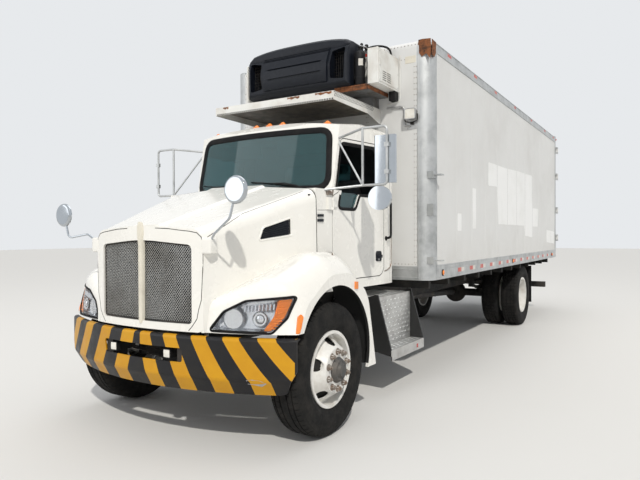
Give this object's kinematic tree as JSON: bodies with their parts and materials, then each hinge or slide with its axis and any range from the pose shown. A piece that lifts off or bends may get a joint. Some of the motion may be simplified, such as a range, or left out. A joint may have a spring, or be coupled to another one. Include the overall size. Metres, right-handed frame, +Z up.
{
  "type": "refrigerated box truck",
  "caption": "Conventional-cab truck with an insulated box body, a cooling unit on its front wall, a tilting hood, opening doors, steered front wheels and turning wheels.",
  "frame": {"origin": "on the ground at the middle of the overall length and width", "axes": "the front faces -Y, +X is the vehicle's left side, +Z is up"},
  "size_m": [2.812, 9.958, 3.589],
  "materials": {
    "cab_paint": "satin, worn",
    "box_paint": "satin, worn",
    "bumper_paint": "black and yellow diagonal stripes",
    "bare_aluminium": "dull",
    "chassis_paint": "matt, dusty",
    "engine_metal": "rough",
    "wheel_paint": "satin, dusty",
    "tyre_rubber": "matt",
    "window_glass": "tinted",
    "lamp_lens": "clear",
    "grille_metal": "polished bars",
    "bright_metal": "polished",
    "interior_plastic": "matt",
    "seat_fabric": "woven",
    "black_plastic": "moulded, satin",
    "unit_paint": "worn, rusty edges",
    "flap_rubber": "matt"
  },
  "bodies": {
    "chassis": {"cab_shell": "cab_paint", "cab_roof": "cab_paint", "box_wall_left": "box_paint", "box_wall_right": "box_paint", "box_roof": "box_paint", "box_front_wall": "box_paint", "bumper": "bumper_paint", "box_rails": "bare_aluminium", "corner_posts": "bare_aluminium", "box_rear_frame": "bare_aluminium", "corner_steps": "bare_aluminium", "step_box": "bare_aluminium", "fuel_tank": "bare_aluminium", "air_tanks": "bare_aluminium", "frame_rails": "chassis_paint", "frame_horns": "chassis_paint", "front_axle": "chassis_paint", "leaf_springs": "chassis_paint", "rear_axle": "chassis_paint", "radiator": "chassis_paint", "underride_guard": "chassis_paint", "box_floor": "chassis_paint", "engine_block": "engine_metal", "windshield": "window_glass", "cab_rear_window": "window_glass", "roof_lamps": "lamp_lens", "mirror_frames": "bright_metal", "mirror_heads": "bright_metal", "dashboard": "interior_plastic", "seats": "seat_fabric", "unit_shroud": "black_plastic", "unit_base": "unit_paint", "control_box": "unit_paint", "platform": "unit_paint", "mudflaps": "flap_rubber"},
    "hood": {"hood": "cab_paint", "headlamps": "lamp_lens", "grille_surround": "cab_paint", "grille": "grille_metal", "hood_mirrors": "bright_metal"},
    "door_left": {"door_left": "cab_paint", "door_glass_left": "window_glass"},
    "door_right": {"door_right": "cab_paint", "door_glass_right": "window_glass"},
    "knuckle_left": {"knuckle_left": "chassis_paint"},
    "knuckle_right": {"knuckle_right": "chassis_paint"},
    "tie_rod": {"tie_rod": "chassis_paint"},
    "front_wheel_left": {"wheel_front_left": "wheel_paint", "tyre_front_left": "tyre_rubber"},
    "front_wheel_right": {"wheel_front_right": "wheel_paint", "tyre_front_right": "tyre_rubber"},
    "rear_wheels_left": {"wheels_rear_left": "wheel_paint", "rims_rear_left": "wheel_paint", "tyres_rear_left": "tyre_rubber"},
    "rear_wheels_right": {"wheels_rear_right": "wheel_paint", "rims_rear_right": "wheel_paint", "tyres_rear_right": "tyre_rubber"},
    "rear_door_left": {"rear_door_left": "box_paint"},
    "rear_door_right": {"rear_door_right": "box_paint"}
  },
  "joints": [
    {"name": "hood_tilt", "type": "hinge", "parent": "chassis", "child": "hood", "pos_m": [0, -4.899, 0.7], "axis": [1, 0, 0], "range_deg": [0, 57]},
    {"name": "door_left_swing", "type": "hinge", "parent": "chassis", "child": "door_left", "pos_m": [0.884, -3.596, 1.59], "axis": [0, 0, -1], "range_deg": [0, 55]},
    {"name": "door_right_swing", "type": "hinge", "parent": "chassis", "child": "door_right", "pos_m": [-0.884, -3.596, 1.59], "axis": [0, 0, 1], "range_deg": [0, 55]},
    {"name": "steer_left", "type": "hinge", "parent": "chassis", "child": "knuckle_left", "pos_m": [0.876, -4.099, 0.515], "axis": [0, 0, 1], "range_deg": [-35, 35]},
    {"name": "steer_right", "type": "hinge", "parent": "chassis", "child": "knuckle_right", "pos_m": [-0.876, -4.099, 0.515], "axis": [0, 0, 1], "range_deg": [-35, 35]},
    {"name": "tie_rod_pivot", "type": "hinge", "parent": "knuckle_left", "child": "tie_rod", "pos_m": [0.876, -3.909, 0.398], "axis": [0, 0, 1], "range_deg": [-35, 35]},
    {"name": "front_wheel_left_spin", "type": "hinge", "parent": "knuckle_left", "child": "front_wheel_left", "pos_m": [1.048, -4.099, 0.515], "axis": [1, 0, 0], "continuous": true},
    {"name": "front_wheel_right_spin", "type": "hinge", "parent": "knuckle_right", "child": "front_wheel_right", "pos_m": [-1.048, -4.099, 0.515], "axis": [1, 0, 0], "continuous": true},
    {"name": "rear_wheels_left_spin", "type": "hinge", "parent": "chassis", "child": "rear_wheels_left", "pos_m": [0.902, 2.367, 0.515], "axis": [1, 0, 0], "continuous": true},
    {"name": "rear_wheels_right_spin", "type": "hinge", "parent": "chassis", "child": "rear_wheels_right", "pos_m": [-0.902, 2.367, 0.515], "axis": [1, 0, 0], "continuous": true},
    {"name": "rear_door_left_swing", "type": "hinge", "parent": "chassis", "child": "rear_door_left", "pos_m": [1.325, 4.971, 2.36], "axis": [0, 0, -1], "range_deg": [0, 270]},
    {"name": "rear_door_right_swing", "type": "hinge", "parent": "chassis", "child": "rear_door_right", "pos_m": [-1.325, 4.971, 2.36], "axis": [0, 0, 1], "range_deg": [0, 270]}
  ],
  "couplings": [
    {"joint": "steer_right", "follows": "steer_left", "ratio": 1},
    {"joint": "tie_rod_pivot", "follows": "steer_left", "ratio": -1}
  ]
}
